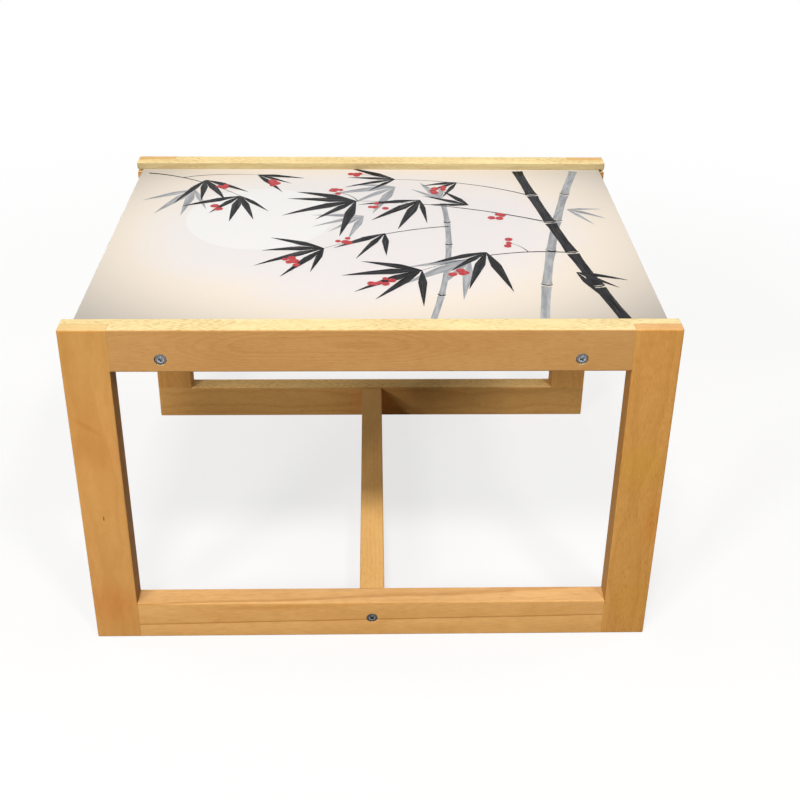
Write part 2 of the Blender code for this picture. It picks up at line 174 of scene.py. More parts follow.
# Tints that darken the wood
CLOUD_TINT = (0.88, 0.82, 0.74)
LATE_WOOD_TINT = (0.80, 0.70, 0.58)
RING_LINE_TINT = (0.72, 0.60, 0.47)
FIBRE_TINT = (0.84, 0.77, 0.66)
DASH_TINT = (0.74, 0.60, 0.44)
# The last tint is painted shade on the arrises, against the light that their rounding catches
ARRIS_PAINTED_SHADE_TINT = (0.80, 0.72, 0.62)

# Satin varnish on the boards: its gloss, its roughness, the share of the clouds and the span of values in
# that roughness, the share of the fibres in the bump, and the bump's strength and height
BEECH_SPECULAR = 0.06
BEECH_ROUGHNESS = (0.54, 0.68)
SHEEN_CLOUDS = 0.5
SHEEN_SPAN = (0.4, 1.1)
FIBRE_HEIGHT = 0.4
BEECH_BUMP = (0.12, 0.0003)

# Marks in the wood of the front frame: their place along X and Z, their half axes there, how far they are
# turned in degrees, and the tint of the wood in their middle
MARKS = {
    "front_left_leg": [
        ((-0.2865, 0.168), (0.0007, 0.0030), 0, (0.30, 0.22, 0.16)),
        ((-0.2920, 0.286), (0.0180, 0.0026), -38, (0.93, 0.88, 0.82)),
        ((-0.2850, 0.252), (0.0220, 0.0200), 0, (0.98, 0.93, 0.90)),
        ((-0.2920, 0.050), (0.0260, 0.0260), 0, (0.985, 0.88, 0.82)),
        ((-0.2850, 0.400), (0.0600, 0.0800), 0, (0.94, 0.99, 0.98)),
    ],
    "front_right_leg": [
        ((0.2840, 0.232), (0.0240, 0.0300), 0, (0.98, 1.00, 0.82)),
        ((0.3040, 0.158), (0.0110, 0.0300), 0, (0.97, 0.89, 0.75)),
        ((0.2920, 0.048), (0.0220, 0.0300), 0, (0.98, 1.00, 0.86)),
    ],
    "front_bottom_rail": [
        ((-0.1100, 0.0415), (0.0800, 0.0040), 0, (0.95, 0.90, 0.83)),
        ((-0.0600, 0.0440), (0.1000, 0.0030), 2, (0.96, 0.91, 0.84)),
    ],
}

# A mark fades out between these multiples of its half axes
MARK_INNER = 0.3
MARK_OUTER = 1.5

# Zinc plate: its clouds, the spots where painted glints show and its tool marks, its colours, of which the
# greys are darkened as a painted reflection of dark surroundings and the bright one is a painted glint, its
# roughness, and the strength and height of its bump
ZINC_CLOUDS = Noise((420.0, 420.0, 420.0), 3.0, 0.6)
ZINC_PAINTED_GLINT_SPOTS = Noise((700.0, 700.0, 700.0), 2.0, 0.5, 0.0, 0.42, 0.58)
ZINC_MARKS = Noise((900.0, 5200.0, 900.0))
ZINC_DARK_PAINTED_REFLECTION = (0.10, 0.105, 0.115)
ZINC_LIGHT_PAINTED_REFLECTION = (0.20, 0.205, 0.22)
ZINC_PAINTED_GLINT = (0.49, 0.50, 0.52)
FITTING_DARKENING_TINT = (0.40, 0.40, 0.36)
ZINC_ROUGHNESS = (0.22, 0.36)
ZINC_BUMP = (0.15, 0.0002)

# Radius within which painted glints show round a bolt's recess, and over what width they give way to the
# painted dark reflection of the rim
PAINTED_DARK_RIM_FROM = 0.0030
PAINTED_DARK_RIM_OVER = 0.0012

# Fittings whose zinc is made darker, and how far
FITTINGS_DARKENED = {"front_bottom_bolt": 0.8}

# Bare wood of the dowels
DOWEL_FIBRES = Noise((1400.0, 90.0, 1400.0), 2.0, 0.6, 0.0, 0.5, 0.75)
DOWEL_CLOUDS = Noise((160.0, 30.0, 160.0))
DOWEL_PALE = (0.70, 0.48, 0.25)
DOWEL_DARK = (0.60, 0.38, 0.18)
DOWEL_PORES = (0.40, 0.23, 0.10)
PORE_STRENGTH = 0.5
DOWEL_ROUGHNESS = (0.55, 0.75)
DOWEL_BUMP = (0.2, 0.0003)

# Glue in the half laps: the gap that it fills, its film's thickness, how far the film stays inside the wood,
# the rounding of the wood's arrises, and its clouds, colours and roughness
GLUE_GAP = 0.0003
GLUE_THICKNESS = 0.00026
GLUE_INSET = 0.0001
ARRIS_RADIUS = 0.0015
ARRIS_STEPS = 3
GLUE_CLOUDS = Noise((160.0, 160.0, 160.0))
GLUE_DARK = (0.50, 0.245, 0.075)
GLUE_LIGHT = (0.62, 0.32, 0.11)
GLUE_ROUGHNESS = (0.5, 0.65)

# Glossy panel: its level, its gloss and roughness, its pale back, and how squarely its top face looks up
PANEL_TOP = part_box("top_panel")[1].z
PANEL_SPECULAR = 0.05
PANEL_ROUGHNESS = (0.05, 0.09)
GLOSS_SPAN = (0.3, 0.8)
PANEL_BACK = (0.66, 0.67, 0.65)
TOP_FACE_SPAN = (0.5, 0.9)

# Ground of the print: the oval in whose middle it is cool, its clouds and paper, its colours, and how far
# out in that oval it turns warm and darkens to the corners
GROUND_MIDDLE = (0.0, 0.025)
GROUND_HALF = (0.30, 0.225)
GROUND_CLOUDS = Noise((5.0, 7.0, 1.0), 3.0)
GROUND_CLOUD_STRENGTH = 0.8
PAPER = Noise((900.0, 420.0, 1.0), 3.0, 0.6, 0.0, 0.45, 0.8)
PAPER_STRENGTH = 0.12
PAPER_FLECK = (0.62, 0.58, 0.54)
GROUND_COOL = (0.72, 0.685, 0.687)
GROUND_WARM = (0.79, 0.702, 0.60)
GROUND_CORNER = (0.366, 0.338, 0.304)
WARM_SPAN = (0.3, 1.0)
CORNER_SPAN = (0.45, 2.3)

# Pale disc: its middle and radius, its colour and the softness of its edge, then its halo's colour, reach in
# radii and strength
MOON = (-0.135, 0.055, 0.088)
MOON_COLOUR = (0.749, 0.743, 0.738)
MOON_EDGE = 0.001
HALO_COLOUR = (0.726, 0.709, 0.698)
HALO_REACH = 2.1
HALO_STRENGTH = 0.35

# Inks: a dark tone, a light one, the tone of dry streaks and specks, and how strongly the specks show
INKS = {
    "ink": ((0.004, 0.004, 0.005), (0.025, 0.025, 0.029), (0.15, 0.15, 0.15), 0.15),
    "wash": ((0.24, 0.25, 0.27), (0.42, 0.43, 0.44), (0.55, 0.54, 0.52), 0.3),
    "berry": ((0.40, 0.030, 0.040), (0.52, 0.075, 0.080), (0.60, 0.16, 0.15), 0.3),
}
INK_FLOW = Noise((2.2, 1.6, 1.0), 3.0, 0.6, 0.0, 0.35, 0.70)
INK_STREAKS = Noise((1.4, 15.0, 1.0), 2.0, 0.6, 0.0, 0.58, 0.72)
INK_STREAKS_SHIFT = 4.0
INK_STREAK_STRENGTH = 0.75
INK_SPECKS = Noise((1500.0, 1500.0, 1.0), 2.0, 0.6, 0.0, 0.55, 0.80)

# Strokes: how far the first lies above the panel, and each above the one before it, the seed of what varies
# in them, how far apart they lie in the ink's noise, and the corners of a round dab
PRINT_LIFT = 0.00002
PRINT_STEP = 0.0000015
PRINT_SEED = 7
STROKE_STRIDE = 3.7
DOT_STEPS = 20

# Leaves: where along it one is bent and where it is broadest, how sharply it swells and tapers, its finest
# width, and the least and most that it spreads, its share of a cluster's size, its breadth and its droop
LEAF_STEPS = 14
LEAF_BEND = 0.55
LEAF_BROADEST = 0.35
LEAF_SWELL = 0.8
LEAF_TAPER = 0.85
LEAF_FINEST = 0.0004
LEAF_SPREAD = (0.38, 0.55)
LEAF_LENGTH = (0.75, 1.15)
LEAF_BREADTH = (0.12, 0.16)
LEAF_DROOP = (0.02, 0.16)

# Canes: their breadth along one length between joints, how far it wavers, and how much of its first and last
# step is left bare; then the stroke across a joint: its reach to each side, its bow and its widths
CANE_FLARE = (1.14, 1.0, 0.95, 0.94, 0.95, 1.0, 1.14)
CANE_WAVER = (0.97, 1.03)
CANE_BARE = 0.18
JOINT_REACH = 0.62
JOINT_BOW = 0.002
JOINT_WIDTHS = (0.0012, 0.0024, 0.0030, 0.0026, 0.0030, 0.0024, 0.0010)

# Twigs: how much thinner each step is, as a share of the twig's width
TWIG_STEPS = 10
TWIG_TAPER = 0.07

# Berries: the least and most of their reach, as a share of their cluster's spread, and of their radius
BERRY_REACH = (0.15, 1.0)
BERRY_RADIUS = (0.0032, 0.0052)

# Canes of the print: start, bend and end, ink, width and number of lengths
CANES = [
    (((0.175, -0.206), (0.205, 0.01), (0.268, 0.206)), "wash", 0.0105, 5),
    (((0.262, -0.206), (0.215, 0.0), (0.192, 0.206)), "ink", 0.0130, 5),
    (((0.060, -0.206), (0.098, -0.05), (0.088, 0.100)), "wash", 0.0070, 5),
]

# Twigs of the print: start, bend, end and width
TWIGS = [
    ((0.206, 0.045), (0.10, 0.10), (-0.02, 0.105), 0.0026),
    ((0.222, -0.040), (0.14, -0.03), (0.055, -0.085), 0.0024),
    ((0.092, 0.030), (0.02, 0.02), (-0.055, -0.030), 0.0020),
    ((0.196, 0.125), (0.13, 0.17), (0.03, 0.175), 0.0022),
    ((-0.292, 0.195), (-0.23, 0.185), (-0.165, 0.120), 0.0026),
    ((-0.245, 0.180), (-0.21, 0.195), (-0.150, 0.190), 0.0016),
    ((0.178, -0.039), (0.173, -0.024), (0.160, -0.016), 0.0014),
    ((0.154, 0.069), (0.154, 0.064), (0.150, 0.060), 0.0014),
    ((-0.018, 0.105), (-0.026, 0.128), (-0.050, 0.134), 0.0014),
    ((0.030, 0.175), (0.004, 0.192), (-0.020, 0.190), 0.0014),
]

# Clusters of leaves, pale ones and dark ones: root, direction in degrees, number of leaves and size
WASH_LEAVES = [
    ((0.030, 0.150), 205, 4, 0.075),
    ((-0.010, 0.060), 215, 4, 0.080),
    ((0.110, -0.060), 225, 4, 0.085),
    ((0.240, 0.080), -25, 3, 0.050),
    ((-0.225, 0.140), 250, 4, 0.070),
    ((0.085, 0.110), 110, 3, 0.060),
]
INK_LEAVES = [
    ((-0.020, 0.105), 200, 5, 0.085),
    ((0.060, 0.108), 235, 4, 0.075),
    ((0.120, 0.092), 150, 3, 0.060),
    ((0.055, -0.085), 210, 5, 0.090),
    ((0.130, -0.040), 240, 4, 0.080),
    ((-0.055, -0.030), 205, 5, 0.075),
    ((0.015, 0.010), 240, 3, 0.065),
    ((0.030, 0.175), 185, 4, 0.065),
    ((0.110, 0.165), 215, 3, 0.060),
    ((0.225, -0.090), -40, 3, 0.055),
    ((-0.165, 0.120), 265, 5, 0.075),
    ((-0.150, 0.190), 330, 3, 0.060),
    ((-0.215, 0.172), 285, 4, 0.065),
]

# Clusters of berries: place, number and spread
BERRIES = [
    ((-0.050, 0.135), 6, 0.014),
    ((0.005, 0.085), 5, 0.012),
    ((0.085, 0.140), 6, 0.014),
    ((0.150, 0.060), 4, 0.010),
    ((0.010, -0.110), 6, 0.014),
    ((0.095, -0.095), 5, 0.012),
    ((0.160, -0.015), 5, 0.012),
    ((-0.090, -0.060), 6, 0.014),
    ((-0.030, -0.010), 4, 0.010),
    ((-0.190, 0.150), 5, 0.012),
    ((-0.125, 0.165), 5, 0.012),
    ((-0.195, 0.085), 4, 0.010),
    ((-0.020, 0.190), 4, 0.010),
]


class Graph:
    """The nodes of a material or a world, with short ways to add and link them."""

    def __init__(self, owner):
        owner.use_nodes = True
        self.owner = owner
        self.nodes = owner.node_tree.nodes
        self.links = owner.node_tree.links

    def feed(self, socket, value):
        """Links a socket to another, or sets it to a value."""
        if isinstance(value, bpy.types.NodeSocket):
            self.links.new(value, socket)
        elif hasattr(socket.default_value, "__len__") and len(socket.default_value) == 4:
            socket.default_value = (*value[:3], 1.0)
        else:
            socket.default_value = value

    def add(self, kind, inputs, output=0, **settings):
        """A new node with its inputs and settings, of which one output is given back."""
        node = self.nodes.new(kind)
        for key, value in settings.items():
            setattr(node, key, value)
        for key, value in inputs.items():
            self.feed(node.inputs[key], value)
        return node.outputs[output]

    def maths(self, operation, first, second=0.0, third=0.0):
        return self.add("ShaderNodeMath", {0: first, 1: second, 2: third}, operation=operation)

    def place(self):
        return self.add("ShaderNodeTexCoord", {}, "Object")

    def facing(self):
        return self.parts_of(self.add("ShaderNodeNewGeometry", {}, "Normal"))

    def parts_of(self, vector):
        node = self.nodes.new("ShaderNodeSeparateXYZ")
        self.feed(node.inputs[0], vector)
        return list(node.outputs)

    def vector(self, x, y, z):
        return self.add("ShaderNodeCombineXYZ", {0: x, 1: y, 2: z})

    def length(self, vector):
        return self.add("ShaderNodeVectorMath", {0: vector}, "Value", operation="LENGTH")

    def noise(self, vector, kind):
        """The value of a kind of noise at a place."""
        scaled = self.add("ShaderNodeVectorMath", {0: vector, 1: kind.scales}, operation="MULTIPLY")
        inputs = {"Vector": scaled, "Scale": 1.0, "Detail": kind.detail}
        inputs["Roughness"] = kind.roughness
        inputs["Distortion"] = kind.distortion
        return self.add("ShaderNodeTexNoise", inputs, "Fac")

    def step(self, value, low, high, to_low=0.0, to_high=1.0):
        """A smooth step of value from low to high."""
        inputs = {"Value": value, "From Min": low, "From Max": high, "To Min": to_low, "To Max": to_high}
        return self.add("ShaderNodeMapRange", inputs, interpolation_type="SMOOTHSTEP")

    def shown(self, value, kind, strength=1.0):
        """Where a kind of noise with this value shows, and how strongly."""
        return self.step(value, kind.low, kind.high, 0.0, strength)

    def blend(self, factor, first, second, blend_type="MIX"):
        inputs = {0: factor, 6: first, 7: second}
        return self.add("ShaderNodeMix", inputs, 2, data_type="RGBA", blend_type=blend_type)

    def darken(self, colour, amount, tint):
        """The colour, multiplied by a tint where amount is 1."""
        return self.blend(amount, colour, tint, "MULTIPLY")

    def bump(self, height, strength, distance):
        inputs = {"Height": height, "Strength": strength, "Distance": distance}
        bumped = self.add("ShaderNodeBump", inputs)
        self.feed(self.nodes["Principled BSDF"].inputs["Normal"], bumped)

    def finish(self, **values):
        """The material, with these values on its Principled shader."""
        shader = self.nodes["Principled BSDF"]
        for key, value in values.items():
            self.feed(shader.inputs[key.replace("_", " ")], value)
        return self.owner


class Board(Graph):
    """The nodes of a board's wood, which know its axes, its faces and the patterns along its grain."""

    def __init__(self, name, seed, figure):
        super().__init__(bpy.data.materials.new(name))
        self.seed = seed
        self.figure = figure
        low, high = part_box(name)
        middle = (low + high) / 2
        self.thin, self.across, along = sorted(range(3), key=lambda axis: high[axis] - low[axis])
        self.axes = self.parts_of(self.place())
        self.grain = self.maths("ADD", self.axes[along], seed * SEED_STRIDE)
        self.from_middle = self.maths("SUBTRACT", self.axes[along], middle[along])
        self.wide = self.maths("SUBTRACT", self.axes[self.across], middle[self.across])
        self.deep = self.maths("SUBTRACT", self.axes[self.thin], middle[self.thin])
        self.local = self.vector(self.grain, self.wide, self.deep)
        self.normal = self.facing()
        square = [self.maths("ABSOLUTE", part) for part in self.normal]
        self.end_face = self.step(square[along], FACE_FROM, FACE_FULL)
        self.edge_face = self.step(square[self.across], FACE_FROM, FACE_FULL)
        flat = self.maths("MAXIMUM", square[self.across], square[self.thin])
        # Where painted shade darkens the arrises
        self.painted_arris_shade = self.step(self.maths("MAXIMUM", flat, square[along]), ARRIS_FROM, ARRIS_FULL)

    def rings(self):
        """How strongly late wood shows in the growth rings, and the dark lines that end them."""
        growth = self.figure.growth
        wander = self.noise(self.vector(self.grain, self.wide, self.seed), WANDER)
        wander = self.maths("MULTIPLY", self.maths("SUBTRACT", wander, NOISE_MIDDLE), growth.wander * 2)
        aside = self.maths("ADD", self.wide, growth.aside)
        aside = self.maths("MULTIPLY_ADD", self.from_middle, -growth.rise, aside)
        from_nearest = self.maths("SUBTRACT", self.from_middle, growth.nearest)
        wave = self.maths("COSINE", self.maths("MULTIPLY", from_nearest, math.pi / growth.reach))
        bowed = self.step(wave, 1.0, -1.0, 0.0, growth.bow)
        behind = self.maths("ADD", self.maths("ADD", self.deep, growth.behind), bowed)
        radius = self.maths("ADD", self.length(self.vector(aside, behind, 0.0)), wander)
        radius = self.maths("ADD", radius, growth.shift)
        ring = self.maths("FRACT", self.maths("DIVIDE", radius, growth.width))
        on_broad = RING_STRENGTH * self.figure.rings
        on_narrow = RING_STRENGTH * self.figure.edge_rings
        strength = self.step(self.edge_face, 0.0, 1.0, on_broad, on_narrow)
        strength = self.maths("MULTIPLY", strength, self.step(wave, -1.0, 1.0, RING_STRENGTH_FAR, 1.0))
        strength = self.maths("MULTIPLY", self.step(ring, 1.0, 1.0 - RING_EDGE / growth.width), strength)
        late_wood = self.step(ring, LATE_WOOD_FROM, LATE_WOOD_FULL, 0.0, LATE_WOOD_STRENGTH)
        share = min(RING_LINE / growth.width, RING_LINE_MOST)
        line = self.step(ring, 1.0 - share, 1.0 - share / 2)
        return self.maths("MULTIPLY", late_wood, strength), self.maths("MULTIPLY", line, strength)

    def dashes(self):
        """How strongly short dark dashes show, in crowds along the grain."""
        side = self.add("ShaderNodeMix", {0: self.edge_face, 2: self.wide, 3: self.deep})
        slope = self.maths("MULTIPLY", self.edge_face, DASH_SLANT)
        slant = self.maths("MULTIPLY_ADD", side, slope, self.grain)
        dashes = self.shown(self.noise(self.vector(slant, side, self.seed), DASHES), DASHES)
        crowded = self.shown(self.noise(self.local, CROWDS), CROWDS)
        dashes = self.maths("MULTIPLY", dashes, crowded)
        strengths = {0: self.edge_face, 2: self.figure.dashes, 3: self.figure.edge_dashes}
        strength = self.add("ShaderNodeMix", strengths)
        strength = self.maths("MULTIPLY", strength, self.maths("SUBTRACT", 1.0, self.end_face))
        return self.maths("MULTIPLY", dashes, strength)

    def painted_bounce_zone(self):
        """Where the inner face rises above the panel and gets painted bounce light."""
        above = self.step(self.axes[self.across], PANEL_TOP - PAINTED_BOUNCE_SOFTNESS, PANEL_TOP)
        inward = self.maths("MULTIPLY", self.normal[self.thin], -1.0)
        return self.maths("MULTIPLY", above, self.step(inward, FACE_FROM, FACE_FULL))

    def mark(self, place, half, turn):
        """Where a mark lies in the wood, from 0 to 1."""
        from_x = self.maths("SUBTRACT", self.axes[0], place[0])
        from_z = self.maths("SUBTRACT", self.axes[2], place[1])
        cosine, sine = math.cos(math.radians(turn)), math.sin(math.radians(turn))
        run = self.maths("MULTIPLY", from_x, cosine / half[0])
        run = self.maths("MULTIPLY_ADD", from_z, sine / half[0], run)
        rise = self.maths("MULTIPLY", from_z, cosine / half[1])
        rise = self.maths("MULTIPLY_ADD", from_x, -sine / half[1], rise)
        return self.step(self.length(self.vector(run, rise, 0.0)), MARK_OUTER, MARK_INNER)


def beech(name, seed, figure, broad_colour_and_painted_light, narrow_colour_and_painted_light, end_colour):
    """Varnished beech: soft clouds and growth rings, fine fibres and short dark dashes along the grain, with
    painted shade on the arrises and painted light in some face colours.
    """
    g = Board(name, seed, figure)
    late_wood, line = g.rings()
    clouds = g.noise(g.local, CLOUDS)
    mottles = g.noise(g.local, MOTTLES)
    fibres = g.noise(g.local, FIBRES)
    dashes = g.dashes()

    wood = g.blend(g.edge_face, broad_colour_and_painted_light, narrow_colour_and_painted_light)
    if name == PAINTED_BOUNCE_BOARD:
        # Painted light: the inner face above the panel is painted paler, as light bounced off the panel
        wood = g.blend(g.painted_bounce_zone(), wood, PAINTED_BOUNCE_COLOUR)
    wood = g.blend(g.end_face, wood, end_colour)
    wood = g.darken(wood, g.shown(clouds, CLOUDS, CLOUD_STRENGTH * figure.clouds), CLOUD_TINT)
    wood = g.darken(wood, g.shown(mottles, MOTTLES, MOTTLE_STRENGTH * figure.mottles), CLOUD_TINT)
    wood = g.darken(wood, late_wood, LATE_WOOD_TINT)
    wood = g.darken(wood, line, RING_LINE_TINT)
    wood = g.darken(wood, g.shown(fibres, FIBRES, figure.fibres), FIBRE_TINT)
    wood = g.darken(wood, dashes, DASH_TINT)
    # Painted shade: the arrises are darkened to tone down the light that their rounding catches
    wood = g.darken(wood, g.maths("MULTIPLY", g.painted_arris_shade, ARRIS_PAINTED_SHADE_STRENGTH), ARRIS_PAINTED_SHADE_TINT)
    for place, half, turn, tint in MARKS.get(name, []):
        wood = g.darken(wood, g.mark(place, half, turn), tint)

    g.bump(g.maths("SUBTRACT", g.maths("MULTIPLY", fibres, FIBRE_HEIGHT), dashes), *BEECH_BUMP)
    sheen = g.maths("ADD", fibres, g.maths("MULTIPLY", clouds, SHEEN_CLOUDS))
    roughness = g.step(sheen, *SHEEN_SPAN, *BEECH_ROUGHNESS)
    return g.finish(Base_Color=wood, Roughness=roughness, Specular_IOR_Level=BEECH_SPECULAR)


def glue():
    """Set wood glue under the varnish: a cloudy brown a little darker than the boards."""
    g = Graph(bpy.data.materials.new("glue"))
    clouds = g.noise(g.place(), GLUE_CLOUDS)
    tone = g.blend(g.shown(clouds, GLUE_CLOUDS), GLUE_DARK, GLUE_LIGHT)
    return g.finish(Base_Color=tone, Roughness=g.step(clouds, *MOST_NOISE, *GLUE_ROUGHNESS))


def dowel_wood():
    """Bare turned dowel: pale fibres along its length and dark pores."""
    g = Graph(bpy.data.materials.new("dowel_wood"))
    local = g.place()
    fibres = g.noise(local, DOWEL_FIBRES)
    clouds = g.noise(local, DOWEL_CLOUDS)
    wood = g.blend(g.shown(clouds, DOWEL_CLOUDS), DOWEL_PALE, DOWEL_DARK)
    wood = g.blend(g.shown(fibres, DOWEL_FIBRES, PORE_STRENGTH), wood, DOWEL_PORES)
    g.bump(fibres, *DOWEL_BUMP)
    return g.finish(Base_Color=wood, Roughness=g.step(fibres, *MOST_NOISE, *DOWEL_ROUGHNESS))


def zinc(name):
    """Zinc plate on a fitting: cloudy grey, darkened as a painted reflection of dark surroundings, with
    painted glints round a head's recess.
    """
    g = Graph(bpy.data.materials.new(name + "_zinc"))
    low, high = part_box(name)
    local = g.add("ShaderNodeVectorMath", {0: g.place(), 1: (low + high) / 2}, operation="SUBTRACT")
    x, _, z = g.parts_of(local)
    from_axis = g.length(g.vector(x, 0.0, z))
    clouds = g.noise(local, ZINC_CLOUDS)
    painted_glint_spots = g.shown(g.noise(local, ZINC_PAINTED_GLINT_SPOTS), ZINC_PAINTED_GLINT_SPOTS)
    painted_glint_zone = g.step(from_axis, PAINTED_DARK_RIM_FROM + PAINTED_DARK_RIM_OVER, PAINTED_DARK_RIM_FROM)
    # Painted reflection: dark greys that stand in for dark surroundings mirrored in the zinc
    metal = g.blend(g.shown(clouds, ZINC_CLOUDS), ZINC_DARK_PAINTED_REFLECTION, ZINC_LIGHT_PAINTED_REFLECTION)
    # Painted glints round a head's recess; farther out the rim keeps the painted dark reflection
    metal = g.blend(g.maths("MULTIPLY", painted_glint_spots, painted_glint_zone), metal, ZINC_PAINTED_GLINT)
    # The listed fittings are made darker still
    metal = g.darken(metal, FITTINGS_DARKENED.get(name, 0.0), FITTING_DARKENING_TINT)
    g.bump(g.noise(local, ZINC_MARKS), *ZINC_BUMP)
    roughness = g.step(clouds, *MOST_NOISE, *ZINC_ROUGHNESS)
    return g.finish(Base_Color=metal, Roughness=roughness, Metallic=1.0)


def panel_ground():
    """The glossy sheet: a cream print that darkens to the corners, with pale edges and a pale underside."""
    g = Graph(bpy.data.materials.new("printed_acrylic"))
    local = g.place()
    x, y, _ = g.parts_of(local)
    squares = []
    for value, middle, half in zip((x, y), GROUND_MIDDLE, GROUND_HALF):
        share = g.maths("DIVIDE", g.maths("SUBTRACT", value, middle), half)
        squares.append(g.maths("POWER", share, 2.0))
    outward = g.maths("ADD", *squares)
    clouds = g.maths("SUBTRACT", g.noise(local, GROUND_CLOUDS), NOISE_MIDDLE)
    paper = g.noise(local, PAPER)
    warm = g.maths("ADD", outward, g.maths("MULTIPLY", clouds, GROUND_CLOUD_STRENGTH))
    ground = g.blend(g.step(warm, *WARM_SPAN), GROUND_COOL, GROUND_WARM)
    ground = g.blend(g.step(outward, *CORNER_SPAN), ground, GROUND_CORNER)
    ground = g.blend(g.shown(paper, PAPER, PAPER_STRENGTH), ground, PAPER_FLECK)
    moon_x, moon_y, radius = MOON
    from_moon = g.length(g.vector(g.maths("SUBTRACT", x, moon_x), g.maths("SUBTRACT", y, moon_y), 0.0))
    halo = g.step(from_moon, radius * HALO_REACH, radius, 0.0, HALO_STRENGTH)
    ground = g.blend(halo, ground, HALO_COLOUR)
    disc = g.step(from_moon, radius + MOON_EDGE, radius - MOON_EDGE)
    ground = g.blend(disc, ground, MOON_COLOUR)
    top_face = g.step(g.facing()[2], *TOP_FACE_SPAN)
    ground = g.blend(top_face, PANEL_BACK, ground)
    roughness = g.step(paper, *GLOSS_SPAN, *PANEL_ROUGHNESS)
    return g.finish(Base_Color=ground, Roughness=roughness, Specular_IOR_Level=PANEL_SPECULAR)


def printed(name, dark, light, streak, speckle):
    """Printed ink under the gloss: two tones that flow along the stroke, with dry streaks and specks."""
    g = Graph(bpy.data.materials.new(name))
    run, side, _ = g.parts_of(g.add("ShaderNodeTexCoord", {}, "UV"))
    flow = g.noise(g.vector(run, side, 0.0), INK_FLOW)
    streaks = g.noise(g.vector(run, side, INK_STREAKS_SHIFT), INK_STREAKS)
    specks = g.noise(g.place(), INK_SPECKS)
    tone = g.blend(g.shown(flow, INK_FLOW), dark, light)
    tone = g.blend(g.shown(streaks, INK_STREAKS, INK_STREAK_STRENGTH), tone, streak)
    tone = g.blend(g.shown(specks, INK_SPECKS, speckle), tone, streak)
    roughness = g.step(specks, *GLOSS_SPAN, *PANEL_ROUGHNESS)
    return g.finish(Base_Color=tone, Roughness=roughness, Specular_IOR_Level=PANEL_SPECULAR)


def new_object(name, shape, material):
    """A new object in the scene, made of a shape that is used up."""
    mesh = bpy.data.meshes.new(name)
    shape.to_mesh(mesh)
    shape.free()
    mesh.materials.append(material)
    piece = bpy.data.objects.new(name, mesh)
    bpy.context.scene.collection.objects.link(piece)
    return piece


class Print:
    """Flat strokes that lie one over the other just above the panel, gathered in one mesh for each ink."""

    def __init__(self):
        self.shapes = {}
        self.count = 0

    def shape_of(self, ink):
        if ink not in self.shapes:
            shape = bmesh.new()
            self.shapes[ink] = (shape, shape.loops.layers.uv.new("stroke"))
        return self.shapes[ink]

    def next_level(self):
        self.count += 1
        return PANEL_TOP + PRINT_LIFT + self.count * PRINT_STEP

    def stroke(self, ink, spine, widths):
        """A brush stroke along a spine of points, with a width at each."""
        shape, uv = self.shape_of(ink)
        level = self.next_level()
        rows = []
        for index, point in enumerate(spine):
            before, after = spine[max(index - 1, 0)], spine[min(index + 1, len(spine) - 1)]
            along = (after - before).normalized()
            out = Vector((-along.y, along.x)) * widths[index] / 2
            rows.append([shape.verts.new((*(point + side * out), level)) for side in (1, -1)])
        for index, (first, second) in enumerate(zip(rows, rows[1:])):
            face = shape.faces.new((first[0], first[1], second[1], second[0]))
            runs = (index, index, index + 1, index + 1)
            for loop, run, side in zip(face.loops, runs, (0.0, 1.0, 1.0, 0.0)):
                loop[uv].uv = (self.count * STROKE_STRIDE + run / (len(spine) - 1), side)

    def dot(self, ink, centre, radius):
        """A round dab of colour."""
        shape, uv = self.shape_of(ink)
        level = self.next_level()
        rim = []
        for step in range(DOT_STEPS):
            angle = 2 * math.pi * step / DOT_STEPS
            point = centre + Vector((math.cos(angle), math.sin(angle))) * radius
            rim.append(shape.verts.new((*point, level)))
        face = shape.faces.new(rim)
        for loop in face.loops:
            offset = (loop.vert.co.xy - centre) / radius
            loop[uv].uv = (self.count * STROKE_STRIDE + offset.x / 2, 0.5 + offset.y / 2)

    def finish(self):
        """Makes one piece of the strokes in each ink."""
        for ink, (shape, _) in self.shapes.items():
            name = "print_" + ink
            piece = new_object(name, shape, printed(name, *INKS[ink]))
            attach(piece, "root")


def bent(start, bend, end, count):
    """Points along a curve from start to end, drawn towards bend."""
    start, bend, end = Vector(start), Vector(bend), Vector(end)
    points = []
    for step in range(count + 1):
        t = step / count
        points.append(start * (1 - t) ** 2 + bend * 2 * t * (1 - t) + end * t**2)
    return points


def leaf(sheet, ink, root, angle, length, width, droop):
    """A slim leaf that swells quickly and runs out to a fine tip."""
    heading = Vector((math.cos(angle), math.sin(angle)))
    tip = root + heading * length + Vector((0.0, -droop * length))
    spine = bent(root, root + heading * length * LEAF_BEND, tip, LEAF_STEPS)
    widths = []
    for step in range(LEAF_STEPS + 1):
        t = step / LEAF_STEPS
        swell = min(1.0, t / LEAF_BROADEST) ** LEAF_SWELL
        taper = min(1.0, (1 - t) / (1 - LEAF_BROADEST)) ** LEAF_TAPER
        widths.append(max(width * swell * taper, LEAF_FINEST))
    sheet.stroke(ink, spine, widths)


def cluster(sheet, ink, pick, root, angle, number, size):
    """Leaves that fan out from one point."""
    for index in range(number):
        spread = (index - (number - 1) / 2) * pick.uniform(*LEAF_SPREAD)
        length = size * pick.uniform(*LEAF_LENGTH)
        breadth = length * pick.uniform(*LEAF_BREADTH)
        droop = pick.uniform(*LEAF_DROOP)
        leaf(sheet, ink, root, angle + spread, length, breadth, droop)


